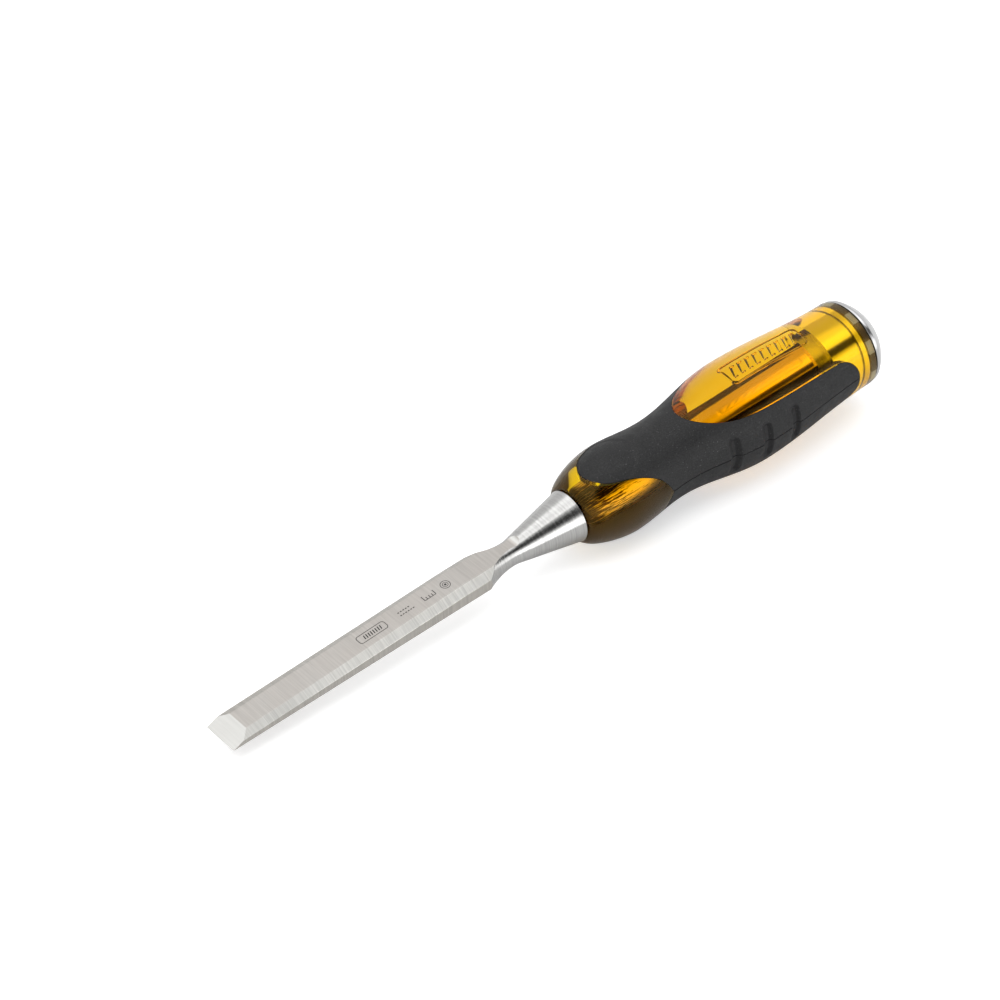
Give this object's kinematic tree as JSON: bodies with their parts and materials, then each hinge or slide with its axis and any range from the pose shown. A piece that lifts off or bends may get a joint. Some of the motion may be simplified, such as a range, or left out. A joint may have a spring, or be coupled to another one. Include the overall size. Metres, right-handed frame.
{
  "type": "bench chisel",
  "caption": "Bench chisel with a bevel-edged steel blade, clear plastic handle, soft grip and domed steel striking cap on a through tang.",
  "frame": {"origin": "middle of the cutting edge, on the flat back of the blade", "axes": "+X from the cutting edge to the striking cap, +Y to the left seen from the cutting edge looking along +X with the bevelled face up, +Z out of the bevelled face, so the flat back of the blade is the plane z = 0"},
  "size_m": [0.2832, 0.038, 0.0378],
  "materials": {
    "blade_steel": "ground satin",
    "clear_handle_plastic": "clear gloss",
    "grip_rubber": "fine matte",
    "fastening_steel": "turned",
    "washer_plastic": "matte",
    "cap_steel": "polished"
  },
  "bodies": {
    "root": {"blade_forging": "blade_steel", "handle_body": "clear_handle_plastic", "soft_grip": "grip_rubber", "tang_collar": "fastening_steel", "cap_washer": "washer_plastic", "strike_cap": "cap_steel"}
  },
  "joints": []
}
